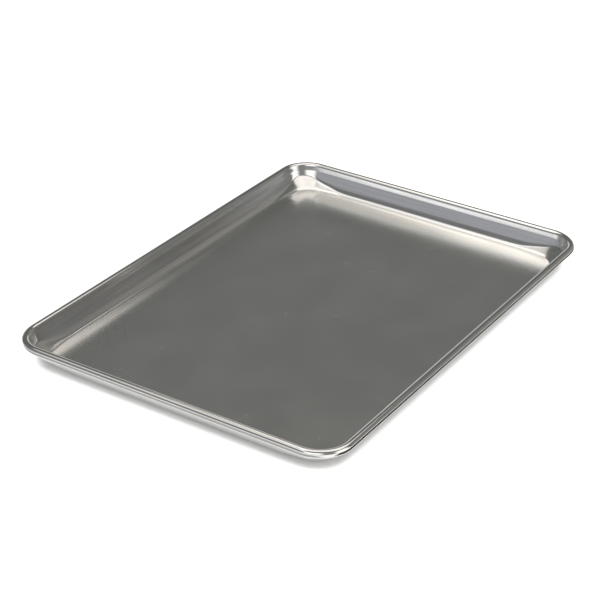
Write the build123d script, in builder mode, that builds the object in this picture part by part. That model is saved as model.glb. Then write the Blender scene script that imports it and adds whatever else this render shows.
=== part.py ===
from build123d import *
from math import acos, degrees
import os

# Jelly roll pan: a shallow rectangular tray drawn from one aluminium sheet, whose edge is curled
# outwards and down round a steel wire. Millimetres, with +Z up and the long sides along X. The
# origin is below the middle of the floor, on the surface that the pan stands on.

# The whole pan
outer_length = 455.0
outer_width = 325.0
overall_height = 23.5

# The drawn sheet
sheet_thickness = 1.0
floor_corner_radius = 14.2  # in plan, where the flat floor ends at a corner
cove_radius = 3.5  # inside the pan, between the floor and a wall
wall_lean = 23.0  # degrees that a wall leans outwards from upright
collar_lean = 15.0  # degrees, of the short steeper strip between a wall and the curl
collar_height = 3.6
bend_radius = 4.0  # inside the pan, between a wall and the collar
curl_gap = 0.3  # from the curl's tucked edge to the back of the collar

# The rim wire
wire_diameter = 5.0
wire_clearance = 0.15  # between the wire and the curl, all round
wire_end_gap = 1.0  # between the wire's two ends, in the middle of one long side

# The curl, whose centre is also the wire's
curl_inner_radius = wire_diameter / 2 + wire_clearance
curl_outer_radius = curl_inner_radius + sheet_thickness
curl_height = overall_height - curl_outer_radius

# The sheet's section at a side is drawn outwards (x) from the edge of the flat floor and
# upwards (y) from the floor's underside. These are the directions of the wall and the collar
# upwards, and square to them, out of the pan.
along_wall = Vector(0, 1).rotate(Axis.Z, -wall_lean)
out_of_wall = Vector(1, 0).rotate(Axis.Z, -wall_lean)
along_collar = Vector(0, 1).rotate(Axis.Z, -collar_lean)
out_of_collar = Vector(1, 0).rotate(Axis.Z, -collar_lean)

# The heights come down from the curl, and the places outwards from the cove.
collar_top_height = curl_height - curl_outer_radius * out_of_collar.Y
collar_foot_height = collar_top_height - collar_height
wall_top_height = collar_foot_height + bend_radius * (out_of_wall.Y - out_of_collar.Y)
cove_centre = Vector(0, sheet_thickness + cove_radius)
wall_foot = cove_centre + out_of_wall * cove_radius
wall_top = wall_foot + along_wall * ((wall_top_height - wall_foot.Y) / along_wall.Y)
bend_centre = wall_top - out_of_wall * bend_radius
collar_foot = bend_centre + out_of_collar * bend_radius
collar_top = collar_foot + along_collar * (collar_height / along_collar.Y)
curl_centre = collar_top + out_of_collar * curl_outer_radius

# The curl runs over the top and down from the collar, until its edge is the gap short of it.
curl_start = 180 - collar_lean
open_arc = degrees(acos((curl_inner_radius - curl_gap) / curl_outer_radius))
curl_arc = 360 - open_arc

# The plan, from the rim's outermost line inwards
floor_inset = curl_centre.X + curl_outer_radius
floor_length = outer_length - 2 * floor_inset
floor_width = outer_width - 2 * floor_inset
corner_x = floor_length / 2 - floor_corner_radius
corner_y = floor_width / 2 - floor_corner_radius
wire_half_length = outer_length / 2 - curl_outer_radius
wire_half_width = outer_width / 2 - curl_outer_radius
wire_corner_radius = floor_corner_radius + curl_centre.X

# The sheet in section at a side: up the inside from the floor, round the curl, and back down
through_wall = out_of_wall * sheet_thickness
through_collar = out_of_collar * sheet_thickness
with BuildSketch() as side_section:
    with BuildLine():
        Line((0, 0), (0, sheet_thickness))
        CenterArc(cove_centre, cove_radius, -90, 90 - wall_lean)
        Line(wall_foot, wall_top)
        CenterArc(bend_centre, bend_radius, -wall_lean, wall_lean - collar_lean)
        Line(collar_foot, collar_top)
        curl_outside = CenterArc(curl_centre, curl_outer_radius, curl_start, -curl_arc)
        curl_inside = CenterArc(curl_centre, curl_inner_radius, curl_start, -curl_arc)
        Line(curl_outside @ 1, curl_inside @ 1)
        Line(collar_top + through_collar, collar_foot + through_collar)
        CenterArc(bend_centre, bend_radius + sheet_thickness, -wall_lean, wall_lean - collar_lean)
        Line(wall_top + through_wall, wall_foot + through_wall)
        CenterArc(cove_centre, cove_radius + sheet_thickness, -90, 90 - wall_lean)
    make_face()

# The pan body is one sheet: its floor, four sides and four corners are a single solid.
with BuildPart() as pan_body:
    with BuildSketch(Plane.XY):
        RectangleRounded(floor_length, floor_width, floor_corner_radius)
    extrude(amount=sheet_thickness)

    # Each side runs as a straight length of the section, out from the middle both ways.
    sides = (
        (floor_length / 2, 0, Vector(1, 0), corner_y),
        (0, floor_width / 2, Vector(0, 1), corner_x),
        (-floor_length / 2, 0, Vector(-1, 0), corner_y),
        (0, -floor_width / 2, Vector(0, -1), corner_x),
    )
    for x, y, outwards, half_run in sides:
        along_side = outwards.rotate(Axis.Z, -90)
        with BuildSketch(Plane(origin=(x, y), x_dir=outwards, z_dir=along_side)):
            add(side_section.sketch)
        extrude(amount=half_run, both=True)

    # Each corner turns the section a quarter round the corner's upright centre line.
    corners = (
        (corner_x, corner_y, Vector(1, 0)),
        (-corner_x, corner_y, Vector(0, 1)),
        (-corner_x, -corner_y, Vector(-1, 0)),
        (corner_x, -corner_y, Vector(0, -1)),
    )
    for x, y, outwards in corners:
        floor_edge = Vector(x, y) + outwards * floor_corner_radius
        along_side = outwards.rotate(Axis.Z, -90)
        with BuildSketch(Plane(origin=floor_edge, x_dir=outwards, z_dir=along_side)):
            add(side_section.sketch)
        revolve(axis=Axis((x, y, 0), (0, 0, 1)), revolution_arc=90)
pan_body.part.label = "pan_body"

# The rim wire is one steel wire inside the curl, bent at the corners, with its ends meeting.
with BuildPart() as rim_wire:
    with BuildLine(Plane.XY.offset(curl_height)) as wire_route:
        FilletPolyline(
            (wire_end_gap / 2, wire_half_width),
            (wire_half_length, wire_half_width),
            (wire_half_length, -wire_half_width),
            (-wire_half_length, -wire_half_width),
            (-wire_half_length, wire_half_width),
            (-wire_end_gap / 2, wire_half_width),
            radius=wire_corner_radius,
        )
    with BuildSketch(Plane(origin=wire_route.line @ 0, z_dir=wire_route.line % 0)):
        Circle(wire_diameter / 2)
    sweep(path=wire_route.line)
rim_wire.part.label = "rim_wire"

os.makedirs("parts", exist_ok=True)
export_step(pan_body.part, "parts/pan_body.step")
export_step(rim_wire.part, "parts/rim_wire.step")

print(f"inside floor {floor_length:.1f} x {floor_width:.1f} mm, {floor_inset:.2f} mm in from the rim")
print(f"rim {2 * curl_outer_radius:.2f} mm round, its corners {floor_corner_radius + floor_inset:.2f} mm")
for piece in (pan_body.part, rim_wire.part):
    print(f"{piece.label}: {len(piece.solids())} solid, {piece.volume:.0f} mm3, {piece.bounding_box().size}")
print(f"wire to pan body: {rim_wire.part.distance_to(pan_body.part):.3f} mm")
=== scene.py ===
# %% [markdown]
# A jelly roll pan, the shallow tray that a thin sheet of sponge is baked in. The real one is a
# single sheet of aluminium, pressed in a die and then curled at its edge round a steel wire. The
# imported model is loaded first. It fixes the size and the place of everything.

# %% Load the imported model
from math import acos, cos, pi, radians, sin, tan

import bmesh
import bpy
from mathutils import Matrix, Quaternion, Vector


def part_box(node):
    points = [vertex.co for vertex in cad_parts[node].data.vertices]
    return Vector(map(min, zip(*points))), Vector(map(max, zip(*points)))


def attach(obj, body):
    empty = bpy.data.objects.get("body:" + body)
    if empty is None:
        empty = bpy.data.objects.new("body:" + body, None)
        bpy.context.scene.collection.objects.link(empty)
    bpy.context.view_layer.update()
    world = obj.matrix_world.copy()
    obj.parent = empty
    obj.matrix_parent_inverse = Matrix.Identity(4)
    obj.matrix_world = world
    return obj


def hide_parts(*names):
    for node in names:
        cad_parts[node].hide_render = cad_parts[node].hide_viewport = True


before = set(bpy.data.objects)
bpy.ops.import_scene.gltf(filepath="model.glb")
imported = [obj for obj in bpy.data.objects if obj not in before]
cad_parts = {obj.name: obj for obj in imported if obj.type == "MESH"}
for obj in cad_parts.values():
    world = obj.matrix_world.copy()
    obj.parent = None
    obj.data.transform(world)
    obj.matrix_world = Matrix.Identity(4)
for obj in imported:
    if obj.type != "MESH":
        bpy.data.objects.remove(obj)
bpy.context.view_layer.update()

mm = 0.001
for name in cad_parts:
    low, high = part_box(name)
    print(name, [f"{size / mm:.1f} mm" for size in high - low])

# %% [markdown]
# The photographer stood at a corner of the pan and looked down on it at about thirty degrees,
# with a long lens, so its sides hardly converge. The camera is placed in the pan's own frame, aimed
# at a point on the worktop, and turned a degree about its line of sight.

# %% Camera
camera_place = Vector((-1172.05, -728.4, 774.65)) * mm
camera_target = Vector((6.26, 17.03, 0.0)) * mm
camera_roll = radians(1.069)
camera_data = bpy.data.cameras.new("camera")
camera_data.sensor_width = 36.0
camera_data.lens = 105.194
camera = bpy.data.objects.new("camera", camera_data)
bpy.context.scene.collection.objects.link(camera)
line_of_sight = (camera_target - camera_place).to_track_quat("-Z", "Y")
camera.rotation_mode = "QUATERNION"
camera.rotation_quaternion = line_of_sight @ Quaternion((0, 0, 1), camera_roll)
camera.location = camera_place
bpy.context.scene.camera = camera
bpy.context.scene.view_settings.view_transform = "Standard"
print(f"camera {(camera_target - camera_place).length:.2f} m from its target")

# %% [markdown]
# Every colour in this lesson is an sRGB hex value, as a paint chart gives it. Blender's shaders
# count in linear light, so one function turns the one into the other. A second one adds a node to
# a material, sets its sockets and joins it to the nodes before it, which keeps each material below
# short enough to read as a recipe.

# %% Colours and nodes
smooth_fade = {"interpolation_type": "SMOOTHSTEP"}  # a Map Range node that starts and ends slowly


def linear(hex_colour):
    """The linear RGBA of an sRGB colour such as "D9DAD8"."""
    channels = []
    for start in (0, 2, 4):
        value = int(hex_colour[start:start + 2], 16) / 255
        channels.append(value / 12.92 if value <= 0.04045 else ((value + 0.055) / 1.055) ** 2.4)
    return (*channels, 1.0)


def add_node(tree, kind, settings=None, **sockets):
    """Adds a node. Each socket, by its name or as i0, i1, gets a value or another node's output."""
    node = tree.nodes.new(kind)
    for name, value in (settings or {}).items():
        setattr(node, name, value)
    for name, value in sockets.items():
        key = int(name[1:]) if name[0] == "i" and name[1:].isdigit() else name.replace("_", " ")
        if isinstance(value, bpy.types.NodeSocket):
            tree.links.new(value, node.inputs[key])
        else:
            node.inputs[key].default_value = value
    return node


def new_material(name):
    """A material with an empty node tree and its output node."""
    material = bpy.data.materials.new(name)
    material.use_nodes = True
    material.node_tree.nodes.clear()
    return material, material.node_tree, material.node_tree.nodes.new("ShaderNodeOutputMaterial")


# %% [markdown]
# Bare metal has no colour of its own to speak of: it shows the room. So the studio is built before
# the pan. One wide soft lamp hangs overhead. Seen at thirty degrees, the flat floor mirrors what is
# thirty degrees up beyond the pan, and the lamp ends well short of that. So the floor stays grey,
# and only what bends up from it catches the lamp.

# %% Lamp
away = Vector((line_of_sight @ Vector((0, 0, -1))).xy).normalized().to_3d()
rightwards = Vector((away.y, -away.x, 0))

lamp_height = 1.30
lamp_near_edge, lamp_far_edge = -0.46, 0.90
lamp_left_edge, lamp_right_edge = -0.54, 1.00
lamp_level = 1.18  # how bright the lamp itself looks, where 1 is white
lamp_data = bpy.data.lights.new("overhead_lamp", "AREA")
lamp_data.shape = "RECTANGLE"
lamp_data.size = lamp_right_edge - lamp_left_edge
lamp_data.size_y = lamp_far_edge - lamp_near_edge
lamp_data.energy = lamp_level * pi * lamp_data.size * lamp_data.size_y
lamp_data.color = linear("FFF8F2")[:3]
lamp = bpy.data.objects.new("overhead_lamp", lamp_data)
bpy.context.scene.collection.objects.link(lamp)
lamp.location = away * (lamp_near_edge + lamp_far_edge) / 2
lamp.location += rightwards * (lamp_left_edge + lamp_right_edge) / 2
lamp.location.z = lamp_height
lamp.rotation_mode = "QUATERNION"
lamp.rotation_quaternion = away.to_track_quat("Y", "Z")
lamp.visible_camera = False
print(f"overhead lamp: {lamp_data.size:.2f} x {lamp_data.size_y:.2f} m, {lamp_data.energy:.1f} W")

# %% [markdown]
# The rest of the room is a soft panorama, dim and a little lighter towards the horizon. Stretches
# of wall, windows and reflectors are laid over it, the later ones over the earlier. Each is a patch
# between two bearings and two heights, with soft edges. Three fades make it, and each one rises
# only as far as the one before it, which multiplies them. Bearings are in degrees from +X to +Y.

# %% Room
world = bpy.data.worlds.new("dim_room")
world.use_nodes = True
bpy.context.scene.world = world
room = world.node_tree

horizon_reach = 24  # degrees up, to where the lighter horizon fades out
direction = add_node(room, "ShaderNodeTexCoord").outputs["Generated"]
rise = add_node(room, "ShaderNodeSeparateXYZ", i0=direction).outputs["Z"]
level_part = add_node(
    room, "ShaderNodeVectorMath", {"operation": "MULTIPLY"}, i0=direction, i1=(1, 1, 0)
)
heading = add_node(
    room, "ShaderNodeVectorMath", {"operation": "NORMALIZE"}, i0=level_part.outputs[0]
)
off_horizon = add_node(
    room, "ShaderNodeMapRange", smooth_fade, Value=rise,
    From_Min=0.0, From_Max=sin(radians(horizon_reach)),
)
shade = add_node(
    room, "ShaderNodeMix", {"data_type": "RGBA"},
    i0=off_horizon.outputs[0], i6=linear("828384"), i7=linear("6D6E6C"),
)
print("room, still empty:", len(room.nodes), "nodes")

# %% Stretches of the room
bearing_softness = 14  # degrees, to each side of an upright edge
height_softness = 3.5  # degrees, above and below a level edge
stretches = (
    # bearing, half its width, its lowest and highest elevation, how bright it is, its colour
    (140, 40, 24, 50, 0.19, "FFFFFF"),  # on the left, a grey wall
    (145, 11, 44, 62, 1.40, "FFFFFF"),  # a narrow bright window high above it
    (110, 20, 50, 70, 0.88, "FFFAF2"),  # and a wider, warmer one beyond that one
    (135, 35, 6, 20, 0.38, "F4F6FF"),  # the same wall lower down, bluish
    (150, 22, 13, 20, 0.47, "F4F6FF"),  # and a little paler towards the photographer
    (165, 30, -6, 4, 1.60, "FFFFFF"),  # a bright strip along its foot
    (-128, 30, -6, 60, 0.27, "FFFFFF"),  # at the photographer's right, a grey wall
    (195, 22, 13, 50, 1.50, "FFFEFC"),  # at the photographer's left, a tall reflector
    (-80, 14, -6, 40, 1.50, "FFFEFC"),  # and another well round to the right
    (-22, 18, 9, 32, 0.31, "FFF9F0"),  # on the right beyond the pan, a dim warm wall
    (-26, 20, -6, 9, 0.11, "FFF9F0"),  # which is darker at its foot
    (36, 22, -6, 17, 0.85, "FFFFFF"),  # straight beyond the pan, a low pale wall
)
for bearing, half_width, lowest, highest, brightness, colour in stretches:
    middle = (cos(radians(bearing)), sin(radians(bearing)), 0)
    nearness = add_node(
        room, "ShaderNodeVectorMath", {"operation": "DOT_PRODUCT"},
        i0=heading.outputs[0], i1=middle,
    )
    between_sides = add_node(
        room, "ShaderNodeMapRange", smooth_fade, Value=nearness.outputs["Value"],
        From_Min=cos(radians(half_width + bearing_softness)),
        From_Max=cos(radians(half_width - bearing_softness)),
    )
    above_foot = add_node(
        room, "ShaderNodeMapRange", smooth_fade, Value=rise,
        From_Min=sin(radians(lowest - height_softness)),
        From_Max=sin(radians(lowest + height_softness)), To_Max=between_sides.outputs[0],
    )
    below_top = add_node(
        room, "ShaderNodeMapRange", smooth_fade, Value=rise,
        From_Min=sin(radians(highest + height_softness)),
        From_Max=sin(radians(highest - height_softness)), To_Max=above_foot.outputs[0],
    )
    lit_colour = (*(brightness * channel for channel in linear(colour)[:3]), 1.0)
    shade = add_node(
        room, "ShaderNodeMix", {"data_type": "RGBA"},
        i0=below_top.outputs[0], i6=shade.outputs[2], i7=lit_colour,
    )
room.links.new(shade.outputs[2], room.nodes["Background"].inputs["Color"])
print(f"room: {len(stretches)} stretches, {len(room.nodes)} nodes")

# %% [markdown]
# The worktop is a matt white board. Where the camera or the metal looks at it directly it glows a
# little as well, which lifts it to paper white. Close to the pan the glow fades away, so the pan
# keeps its shadow, and the fading glow also paints a darker shade round the pan's foot. An
# Ambient Occlusion node tells how close the pan is.

# %% Worktop
worktop_size = 24.0
worktop_drop = 0.1 * mm  # below the pan, so that the two faces don't coincide
worktop_glow = 0.72
shaded_glow = 0.08
shade_reach = 10 * mm  # how near the pan comes to a place on the board that is in its shade
shaded_share, open_share = 0.4, 0.78  # of the directions from a place that miss the pan
bpy.ops.object.select_all(action="DESELECT")
bpy.ops.mesh.primitive_plane_add(size=worktop_size, location=(0, 0, -worktop_drop))
worktop = bpy.context.object
worktop.name = "worktop"
bpy.ops.object.transform_apply(location=True)

board, tree, output = new_material("matt_white_board")
paths = add_node(tree, "ShaderNodeLightPath")
seen = add_node(
    tree, "ShaderNodeMath", {"operation": "MAXIMUM"},
    i0=paths.outputs["Is Camera Ray"], i1=paths.outputs["Is Glossy Ray"],
)
seen = add_node(
    tree, "ShaderNodeMath", {"operation": "MAXIMUM"},
    i0=seen.outputs[0], i1=paths.outputs["Is Transmission Ray"],
)
openness = add_node(tree, "ShaderNodeAmbientOcclusion", {"samples": 8}, Distance=shade_reach)
# painted shade: the glow dims where the pan is close by
glow_with_painted_shade = add_node(
    tree, "ShaderNodeMapRange", Value=openness.outputs["AO"],
    From_Min=shaded_share, From_Max=open_share, To_Min=shaded_glow, To_Max=worktop_glow,
)
glow_strength = add_node(
    tree, "ShaderNodeMath", {"operation": "MULTIPLY"}, i0=seen.outputs[0], i1=glow_with_painted_shade.outputs[0]
)
glow = add_node(tree, "ShaderNodeEmission", Strength=glow_strength.outputs[0])
matt_paint = add_node(tree, "ShaderNodeBsdfDiffuse", Color=linear("F1F1F1"))
glowing_paint = add_node(tree, "ShaderNodeAddShader", i0=matt_paint.outputs[0], i1=glow.outputs[0])
tree.links.new(glowing_paint.outputs[0], output.inputs["Surface"])
worktop.data.materials.append(board)
print(f"worktop: {worktop_size:.0f} m wide")

# %% [markdown]
# Two sheets of card lie beside the pan, as photographers lay them to draw a clean line along a
# bright metal edge: a dark one along the long side, and a pale one along the short side. Only the
# metal sees them. Neither the camera nor the worktop sees them, and they cast no shadow, so they
# are painted reflections. The dark one paints a dark line along the bead's underside, as shade on
# the worktop would.

# %% Cards, painted reflections
card_height = 0.5 * mm
painted_reflection_cards = (
    # name, two opposite corners in millimetres, colour
    ("painted_dark_reflection", (-215, -262), (420, -166), "3E3E3E"),
    ("painted_pale_reflection", (-340, -166), (-230, 320), "E0E0E0"),
)
for name, near_corner, far_corner, colour in painted_reflection_cards:
    near_corner = Vector((*near_corner, 0)) * mm
    far_corner = Vector((*far_corner, 0)) * mm
    bpy.ops.object.select_all(action="DESELECT")
    bpy.ops.mesh.primitive_plane_add(size=1.0)
    card = bpy.context.object
    card.name = name
    card.scale = far_corner - near_corner
    card.location = (near_corner + far_corner) / 2 + Vector((0, 0, card_height))
    bpy.ops.object.transform_apply(location=True, scale=True)
    # seen only in the metal: these cards are painted reflections
    card.visible_camera = False
    card.visible_diffuse = False
    card.visible_transmission = False
    card.visible_shadow = False
    paper, tree, output = new_material(name + "_paper")
    matt_paper = add_node(tree, "ShaderNodeBsdfDiffuse", Color=linear(colour))
    tree.links.new(matt_paper.outputs[0], output.inputs["Surface"])
    card.data.materials.append(paper)
    print(name, [f"{size / mm:.0f} mm" for size in (far_corner - near_corner).xy])

# %% [markdown]
# The pan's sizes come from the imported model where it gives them. The wire's box gives the wire's
# thickness and the height of its centre, and the difference between the two boxes gives the bead
# that the sheet makes round it. The rest are the press tool's own sizes. The corner between floor
# and wall isn't one arc on a pressed pan: it is tight at the floor and eases into the wall.

# %% Sizes
pan_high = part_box("pan_body")[1]
wire_low, wire_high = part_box("rim_wire")
wire_radius = (wire_high.z - wire_low.z) / 2
bead_radius = pan_high.x - wire_high.x + wire_radius
bead_height = (wire_high.z + wire_low.z) / 2

sheet = 1.0 * mm
floor_inset = 17.29 * mm  # from the rim's outermost line to the edge of the flat floor
floor_corner_radius = 14.2 * mm
cove_radius = 2.0 * mm
cove_turn = radians(50)
foot_radius = 25.0 * mm  # of the easy bend between the cove and the wall
wall_lean = radians(23)
bend_radius = 4.0 * mm  # between the wall and the collar, the steeper strip below the bead
collar_lean = radians(15)
collar_height = 3.6 * mm
curl_gap = 0.3 * mm  # left open between the sheet's cut edge and the collar's back

corner_inset = floor_inset + floor_corner_radius
corner = Vector((pan_high.x - corner_inset, pan_high.y - corner_inset, 0))
print(f"bead {2 * bead_radius / mm:.2f} mm round a {2 * wire_radius / mm:.2f} mm wire")

# %% [markdown]
# The section runs from the floor up the wall and round the bead. Its places are worked out from
# the bead inwards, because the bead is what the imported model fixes.

# %% Section places, outwards from a corner's upright centre line (x) and upwards (z)
out_of_collar = Vector((cos(collar_lean), 0, -sin(collar_lean)))
out_of_wall = Vector((cos(wall_lean), 0, -sin(wall_lean)))
bead_centre = Vector((pan_high.x - corner.x - bead_radius, 0, bead_height))
collar_top = bead_centre - out_of_collar * bead_radius
collar_foot = collar_top - Vector((tan(collar_lean), 0, 1)) * collar_height
bend_centre = collar_foot - out_of_collar * bend_radius
wall_top = bend_centre + out_of_wall * bend_radius
foot_turn = radians(90) - wall_lean - cove_turn
foot_rise = foot_radius * (cos(cove_turn) - cos(cove_turn + foot_turn))
foot_run = foot_radius * (sin(cove_turn + foot_turn) - sin(cove_turn))
cove_rise = cove_radius * (1 - cos(cove_turn))
cove_run = cove_radius * sin(cove_turn)
wall_foot_height = sheet + cove_rise + foot_rise
wall_foot = wall_top - Vector((tan(wall_lean), 0, 1)) * (wall_top.z - wall_foot_height)
foot_centre = wall_foot - out_of_wall * foot_radius
floor_edge = Vector((wall_foot.x - foot_run - cove_run, 0, sheet))
cove_centre = floor_edge + Vector((0, 0, cove_radius))
curl_turn = 2 * pi - acos((bead_radius - sheet - curl_gap) / bead_radius)
print(f"floor ends {floor_edge.x / mm:.2f} mm from the corner's centre line")

# %% [markdown]
# The sheet is modelled as its upper face only, and gets its thickness later. A small plane, merged
# to one vertex on a corner's centre line, is extruded outwards for the floor and spun through each
# arc of the section. Where the floor ends, the press leaves a ridge that is a tenth of a millimetre
# high.

# %% Helpers for modelling
def draw_on(step, times=1):
    """Extrudes what is selected, by the same step again and again."""
    for _ in range(times):
        bpy.ops.mesh.extrude_region_move(TRANSFORM_OT_translate={"value": step})


def turn_on(centre, angle, steps):
    """Spins the section's last vertex on about a centre, in the section's upright plane."""
    bpy.ops.mesh.spin(steps=steps, angle=angle, center=corner + centre, axis=(0, 1, 0))


def select_edges(test):
    """Selects the edges whose two ends both pass the test."""
    bpy.ops.mesh.select_all(action="DESELECT")
    cage = bmesh.from_edit_mesh(bpy.context.object.data)
    for edge in cage.edges:
        if all(test(end.co) for end in edge.verts):
            edge.select_set(True)
    bmesh.update_edit_mesh(bpy.context.object.data)


# %% The section
ridge_width = 0.6 * mm
ridge_height = 0.1 * mm
floor_steps = 16
cove_steps = 5
foot_steps = 5
wall_steps = 8
bend_steps = 3
collar_steps = 2
bead_steps = 44
bpy.ops.object.select_all(action="DESELECT")
bpy.ops.mesh.primitive_plane_add(size=sheet, location=corner + Vector((0, 0, sheet)))
pan = bpy.context.object
pan.name = "pressed_pan"
bpy.ops.object.transform_apply(location=True)
bpy.ops.object.mode_set(mode="EDIT")
bpy.ops.mesh.select_mode(type="VERT")
bpy.ops.mesh.merge(type="CENTER")
draw_on(Vector(((floor_edge.x - ridge_width) / floor_steps, 0, 0)), floor_steps)
draw_on(Vector((ridge_width / 2, 0, ridge_height)))
draw_on(Vector((ridge_width / 2, 0, -ridge_height)))
turn_on(cove_centre, cove_turn, cove_steps)
turn_on(foot_centre, foot_turn, foot_steps)
draw_on((wall_top - wall_foot) / wall_steps, wall_steps)
turn_on(bend_centre, wall_lean - collar_lean, bend_steps)
draw_on((collar_top - collar_foot) / collar_steps, collar_steps)
turn_on(bead_centre, -curl_turn, bead_steps)
print(f"the section: {len(bmesh.from_edit_mesh(pan.data).verts)} points")

# %% [markdown]
# The press turns this same section round each corner and draws it straight along each side, and
# the operators below do just that: a quarter turn for the corner, then short steps to the middle of
# each side. The last steps fill the floor that the two sides leave between them. The steps are
# short because the sheet is going to be given its slight waves.

# %% One quarter of the sheet
touching = 0.01 * mm
corner_steps = 26
short_side_steps = 22
long_side_steps = 32
along_short_side = Vector((0, -corner.y / short_side_steps, 0))
along_long_side = Vector((-corner.x / long_side_steps, 0, 0))
bpy.ops.mesh.select_all(action="SELECT")
bpy.ops.mesh.spin(steps=corner_steps, angle=-pi / 2, center=corner, axis=(0, 0, 1))
bpy.ops.mesh.select_all(action="SELECT")
bpy.ops.mesh.remove_doubles(threshold=touching)
bpy.ops.mesh.select_mode(type="EDGE")
select_edges(lambda end: abs(end.y - corner.y) < touching)
draw_on(along_short_side, short_side_steps)
select_edges(lambda end: abs(end.x - corner.x) < touching and end.y > corner.y - touching)
draw_on(along_long_side, long_side_steps)
select_edges(lambda end: abs(end.x - corner.x) < touching and end.y < corner.y + touching)
draw_on(along_long_side, long_side_steps)
bpy.ops.mesh.select_all(action="SELECT")
bpy.ops.mesh.remove_doubles(threshold=touching)
bpy.ops.object.mode_set(mode="OBJECT")
print(f"a quarter of the sheet: {len(pan.data.polygons)} faces")

# %% [markdown]
# The quarter is mirrored both ways, its normals are made to agree, and they are turned up if they
# came out pointing down, since the thickness goes on below them.

# %% The whole sheet, still without thickness
def apply_modifier(kind, **settings):
    """Adds a modifier to the active object, sets it and applies it."""
    bpy.ops.object.modifier_add(type=kind)
    modifier = bpy.context.object.modifiers[-1]
    for name, value in settings.items():
        setattr(modifier, name, value)
    bpy.ops.object.modifier_apply(modifier=modifier.name)


apply_modifier("MIRROR", use_axis=(True, True, False), merge_threshold=touching)
bpy.ops.object.mode_set(mode="EDIT")
bpy.ops.mesh.select_all(action="SELECT")
bpy.ops.mesh.remove_doubles(threshold=touching)
bpy.ops.mesh.normals_make_consistent(inside=False)
bpy.ops.object.mode_set(mode="OBJECT")
floor_face = min(pan.data.polygons, key=lambda face: face.center.length)
if floor_face.normal.z < 0:
    bpy.ops.object.mode_set(mode="EDIT")
    bpy.ops.mesh.flip_normals()
    bpy.ops.object.mode_set(mode="OBJECT")
print(f"the sheet: {len(pan.data.polygons)} faces")

# %% [markdown]
# In the corners the press can't draw the sheet tight. In place of the sharp turn from floor to
# wall, a slope rises there from a rounder floor edge to the foot of the collar, and it fades out
# along each side. The next cell says how high it stands. Places are measured outwards from the
# crease, which is the line where the floor ends.

# %% Sizes of the filled corners
crease_radius = 20 * mm  # of the crease, in plan, in a corner
crease_inset = 3.4 * mm  # how far the crease moves in towards the floor's middle
fill_run = 40 * mm  # along each side, from the turn
fill_slope = radians(42)  # beside a corner
turn_slope = radians(44)  # in the corner itself
turn_start_share, turn_full_share = 0.15, 0.55  # sines of the bearing from the nearer side
fill_bend = 3 * mm  # radius between the floor and the slope
fill_depth = 6 * mm  # more than the sheet is raised anywhere
easing_steps = 8


def ease(share):
    """Turns a share that runs evenly from 0 to 1 into one that starts and ends slowly."""
    share = max(0.0, min(1.0, share))
    return share * share * (3 - 2 * share)


def fill_height(past_crease, slope):
    """How high the slope stands above the floor, so far past the crease."""
    bend_end = fill_bend * sin(slope)
    if past_crease < bend_end:
        return fill_bend - (fill_bend ** 2 - max(past_crease, 0) ** 2) ** 0.5
    return fill_bend * (1 - cos(slope)) + (past_crease - bend_end) * tan(slope)


print(f"slope 10 mm past the crease: {fill_height(10 * mm, turn_slope) / mm:.1f} mm high")

# %% [markdown]
# A vertex group holds how far each place has to rise, as a share of the fill's depth, and a Displace
# modifier raises it. A second group says where a few Smooth steps then ease the lines along which
# the slope meets the floor and the walls. The bead and the collar are in neither group.

# %% Filled corners
fill = pan.vertex_groups.new(name="fill")
easing = pan.vertex_groups.new(name="easing")
crease_centre = corner.xy + Vector((1, 1)) * (floor_edge.x - crease_radius)
greatest_lift = 0.0
for vertex in pan.data.vertices:
    place = Vector((abs(vertex.co.x), abs(vertex.co.y)))
    beside = place - corner.xy
    turn = ease(1 + min(beside) / fill_run)
    outwards = beside.length if min(beside) > 0 else max(beside)
    reach = place - crease_centre
    past_crease = Vector((max(reach.x, 0), max(reach.y, 0))).length - crease_radius
    past_crease += crease_inset * turn
    slope = fill_slope
    if min(reach) > 0:
        into_turn = min(reach) / reach.length - turn_start_share
        slope += (turn_slope - fill_slope) * ease(into_turn / (turn_full_share - turn_start_share))
    if turn > 0 and past_crease > 0 and outwards <= collar_foot.x:
        lift = max(0.0, sheet + fill_height(past_crease, slope) - vertex.co.z)
        greatest_lift = max(greatest_lift, lift)
        fill.add([vertex.index], min(1.0, lift / fill_depth), "REPLACE")
        easing.add([vertex.index], turn * ease(past_crease / fill_bend), "REPLACE")
apply_modifier("DISPLACE", direction="Z", strength=fill_depth, mid_level=0.0, vertex_group="fill")
apply_modifier("SMOOTH", factor=0.5, iterations=easing_steps, vertex_group="easing")
print(f"corners raised by up to {greatest_lift / mm:.1f} mm")

# %% [markdown]
# No pressed sheet is dead flat. The floor rises and falls by a few tenths of a millimetre over a
# hand's breadth, and the walls, which their bends keep stiff, by much less. A cloud texture moves
# the faces along their normals, by the share that a vertex group gives each place. The share fades
# out below the bead, which the wire keeps straight. The clouds only ever push upwards and inwards,
# so the pan stays inside its box.

# %% Waves in the sheet
floor_reach = 1.5 * mm  # a place no higher than this above the floor moves as the floor does
wall_share = 0.15  # at the wall's foot
waving = pan.vertex_groups.new(name="waving")
for vertex in pan.data.vertices:
    share = wall_share * (collar_top.z - vertex.co.z) / (collar_top.z - wall_foot_height)
    if vertex.co.z <= sheet + floor_reach:
        share = 1.0
    if min(pan_high.x - abs(vertex.co.x), pan_high.y - abs(vertex.co.y)) < 2 * bead_radius:
        share = 0.0
    waving.add([vertex.index], max(0.0, share), "REPLACE")

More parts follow.
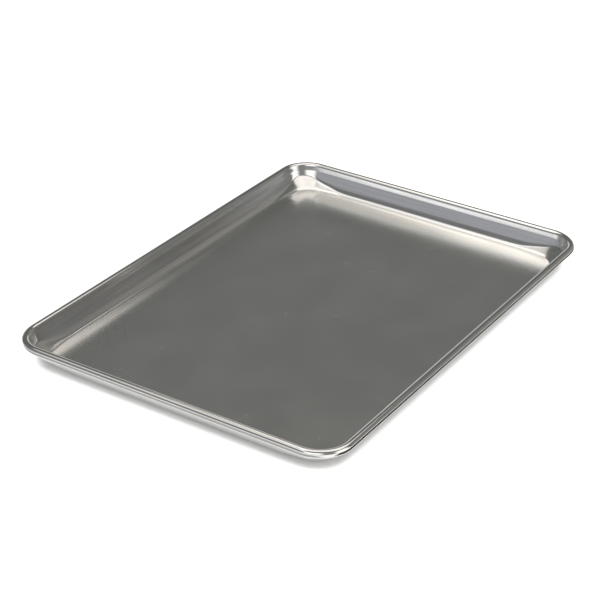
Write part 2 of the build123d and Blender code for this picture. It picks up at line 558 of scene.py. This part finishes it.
waves = (
    # name, how far apart the crests are, how far the sheet moves
    ("long_waves", 170 * mm, 0.5 * mm),
    ("short_waves", 55 * mm, 0.12 * mm),
)
for name, wave_length, wave_height in waves:
    wave = bpy.data.textures.new(name, "CLOUDS")
    wave.noise_scale = wave_length
    wave.noise_depth = 1
    apply_modifier(
        "DISPLACE", texture=wave, texture_coords="LOCAL", mid_level=0.0,
        strength=wave_height, vertex_group="waving",
    )
    print(f"{name}: {wave_height / mm:.2f} mm over {wave_length / mm:.0f} mm")

# %% [markdown]
# Now the sheet gets its thickness, below the face that was modelled. Even thickness keeps it at one
# millimetre round the bends, as on the drawn sheet. The shading is smooth everywhere but at the
# sheet's cut edge, which hides under the bead.

# %% Thickness
sharpest_bend = radians(40)
apply_modifier("SOLIDIFY", thickness=sheet, offset=-1.0, use_even_offset=True, use_rim=True)
pan.vertex_groups.clear()
bpy.ops.object.shade_smooth_by_angle(angle=sharpest_bend)
print(f"pressed pan: {sum(len(face.vertices) - 2 for face in pan.data.polygons)} triangles")

# %% [markdown]
# The finish is bare rolled aluminium, which shows the room as a soft mirror does. The floor keeps
# the satin skin that the rolling mill gave the sheet. The press has rubbed the walls smoother, and
# the curling roll has burnished the bead. So one metal is enough, and its roughness goes first by
# how far a place lies past the floor's edge, and then by its height. Slow patches, a little more or
# less rough, break up the floor's wide mirror image.

# %% Satin aluminium: how rough each part is
satin, tree, output = new_material("satin_aluminium_sheet")
places = add_node(tree, "ShaderNodeTexCoord").outputs["Object"]


def streaks(length, width, rise, detail=2.0, bearing=0):
    """Noise drawn out to real sizes: a length along a bearing, a width across it and a rise."""
    spread = add_node(
        tree, "ShaderNodeMapping", {"vector_type": "TEXTURE"}, Vector=places,
        Rotation=(0, 0, radians(bearing)), Scale=(length, width, rise),
    )
    noise = add_node(
        tree, "ShaderNodeTexNoise", Vector=spread.outputs[0], Scale=1.0, Detail=detail
    )
    return noise.outputs[0]


floor_roughness = 0.22
wall_roughness = 0.16
bead_roughness = 0.11
patch_roughness = 0.015  # more or less, from patch to patch
patch_low, patch_high = 0.3, 0.7  # between which nearly all of the noise lies
cove_width = 1.5 * mm
floor_half = corner + Vector((1, 1, 0)) * floor_corner_radius
from_middle = add_node(tree, "ShaderNodeVectorMath", {"operation": "ABSOLUTE"}, i0=places)
past_sides = add_node(
    tree, "ShaderNodeVectorMath", {"operation": "SUBTRACT"}, i0=from_middle.outputs[0], i1=floor_half
)
past_each_side = add_node(tree, "ShaderNodeSeparateXYZ", i0=past_sides.outputs[0])
past_edge = add_node(
    tree, "ShaderNodeMath", {"operation": "MAXIMUM"},
    i0=past_each_side.outputs["X"], i1=past_each_side.outputs["Y"],
)
drawn = add_node(
    tree, "ShaderNodeMapRange", smooth_fade, Value=past_edge.outputs[0],
    From_Min=0.0, From_Max=cove_width,
)
rubbed = add_node(
    tree, "ShaderNodeMix", {"data_type": "FLOAT"},
    i0=drawn.outputs[0], i2=floor_roughness, i3=wall_roughness,
)
height = add_node(tree, "ShaderNodeSeparateXYZ", i0=places).outputs["Z"]
burnished = add_node(
    tree, "ShaderNodeMapRange", smooth_fade, Value=height,
    From_Min=collar_foot.z, From_Max=collar_top.z, To_Min=rubbed.outputs[0], To_Max=bead_roughness,
)
patches = add_node(
    tree, "ShaderNodeMapRange", smooth_fade, Value=streaks(60 * mm, 45 * mm, 30 * mm),
    From_Min=patch_low, From_Max=patch_high, To_Min=-patch_roughness, To_Max=patch_roughness,
)
patchy = add_node(
    tree, "ShaderNodeMath", {"operation": "ADD"}, i0=burnished.outputs[0], i1=patches.outputs[0]
)
print("satin aluminium, its roughness:", len(tree.nodes), "nodes")

# %% [markdown]
# Even a new pan has a few faint scuffs, from its neighbours in the stack. The same drawn-out noise
# gives them, in two directions, at the few places where it rises very high. A scuff is a little
# rougher and paler than the skin round it.

# %% Scuffs
scuff_bearings = (25, 140)
scuff_length = 22 * mm
scuff_width = 0.7 * mm
scuff_start, scuff_full = 0.735, 0.80  # which the noise seldom reaches
scuff_roughness = 0.05  # more than the skin's
scuff_paleness = 0.15
scuffs = []
for bearing in scuff_bearings:
    scuff = add_node(
        tree, "ShaderNodeMapRange", smooth_fade,
        Value=streaks(scuff_length, scuff_width, scuff_length, detail=1.0, bearing=bearing),
        From_Min=scuff_start, From_Max=scuff_full,
    )
    scuffs.append(scuff.outputs[0])
scuffed = add_node(
    tree, "ShaderNodeMath", {"operation": "MAXIMUM"}, i0=scuffs[0], i1=scuffs[1]
)
roughness = add_node(
    tree, "ShaderNodeMath", {"operation": "MULTIPLY_ADD"},
    i0=scuffed.outputs[0], i1=scuff_roughness, i2=patchy.outputs[0],
)
pale_scuffs = add_node(
    tree, "ShaderNodeMath", {"operation": "MULTIPLY"}, i0=scuffed.outputs[0], i1=scuff_paleness
)
print(f"scuffs: {scuff_length / mm:.0f} x {scuff_width / mm:.1f} mm")

# %% [markdown]
# The mill leaves a lengthwise grain on the sheet, and the die leaves fine level streaks on the walls,
# where the sheet slid through it. Both are shallow bumps, and the streaks are a shade darker too.
# They are drawn several times coarser than they are, as the real ones are finer than a pixel.

# %% Grain, streaks and the metal itself
grain = streaks(40 * mm, 1.6 * mm, 40 * mm, detail=3.0)
level_streaks = streaks(90 * mm, 90 * mm, 1.4 * mm, detail=3.0)
grain_depth = 0.002 * mm
streak_depth = 0.021 * mm
streak_low, streak_high = 0.35, 0.65  # of the noise, from the paler tone to the darker
grained = add_node(
    tree, "ShaderNodeBump", Strength=1.0, Distance=grain_depth, Height=grain
)
streaked = add_node(
    tree, "ShaderNodeBump", Strength=drawn.outputs[0], Distance=streak_depth,
    Height=level_streaks, Normal=grained.outputs[0],
)
darker_streaks = add_node(
    tree, "ShaderNodeMapRange", smooth_fade, Value=level_streaks,
    From_Min=streak_low, From_Max=streak_high, To_Max=drawn.outputs[0],
)
tone = add_node(
    tree, "ShaderNodeMix", {"data_type": "RGBA"},
    i0=darker_streaks.outputs[0], i6=linear("E3E3E1"), i7=linear("DCDCDB"),
)
tone = add_node(
    tree, "ShaderNodeMix", {"data_type": "RGBA"},
    i0=pale_scuffs.outputs[0], i6=tone.outputs[2], i7=linear("F4F4F3"),
)
metal = add_node(
    tree, "ShaderNodeBsdfPrincipled", Base_Color=tone.outputs[2], Metallic=1.0,
    Roughness=roughness.outputs[0], Normal=streaked.outputs[0],
)
tree.links.new(metal.outputs[0], output.inputs["Surface"])
pan.data.materials.append(satin)
print("satin aluminium:", len(tree.nodes), "nodes")

# %% [markdown]
# The wire is plain steel with a hot-dip zinc coat. None of it shows on a finished pan, as the bead
# closes round it, but it is a piece of its own and so it has its own finish: dull zinc, with the
# pale and dark patches of its crystals.

# %% Galvanised wire
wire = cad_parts["rim_wire"]
zinc, tree, output = new_material("galvanised_steel_wire")
places = add_node(tree, "ShaderNodeTexCoord").outputs["Object"]
crystal_size = 3.0 * mm
crystals = add_node(tree, "ShaderNodeTexVoronoi", Vector=places, Scale=1 / crystal_size)
tone = add_node(
    tree, "ShaderNodeMix", {"data_type": "RGBA"},
    i0=crystals.outputs["Distance"], i6=linear("C3C6C9"), i7=linear("9DA1A5"),
)
metal = add_node(
    tree, "ShaderNodeBsdfPrincipled", Base_Color=tone.outputs[2], Metallic=1.0, Roughness=0.42
)
tree.links.new(metal.outputs[0], output.inputs["Surface"])
wire.data.materials.clear()
wire.data.materials.append(zinc)
print("wire:", [slot.material.name for slot in wire.material_slots])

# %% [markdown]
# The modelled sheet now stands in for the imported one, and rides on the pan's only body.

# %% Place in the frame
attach(pan, "root")
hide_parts("pan_body")
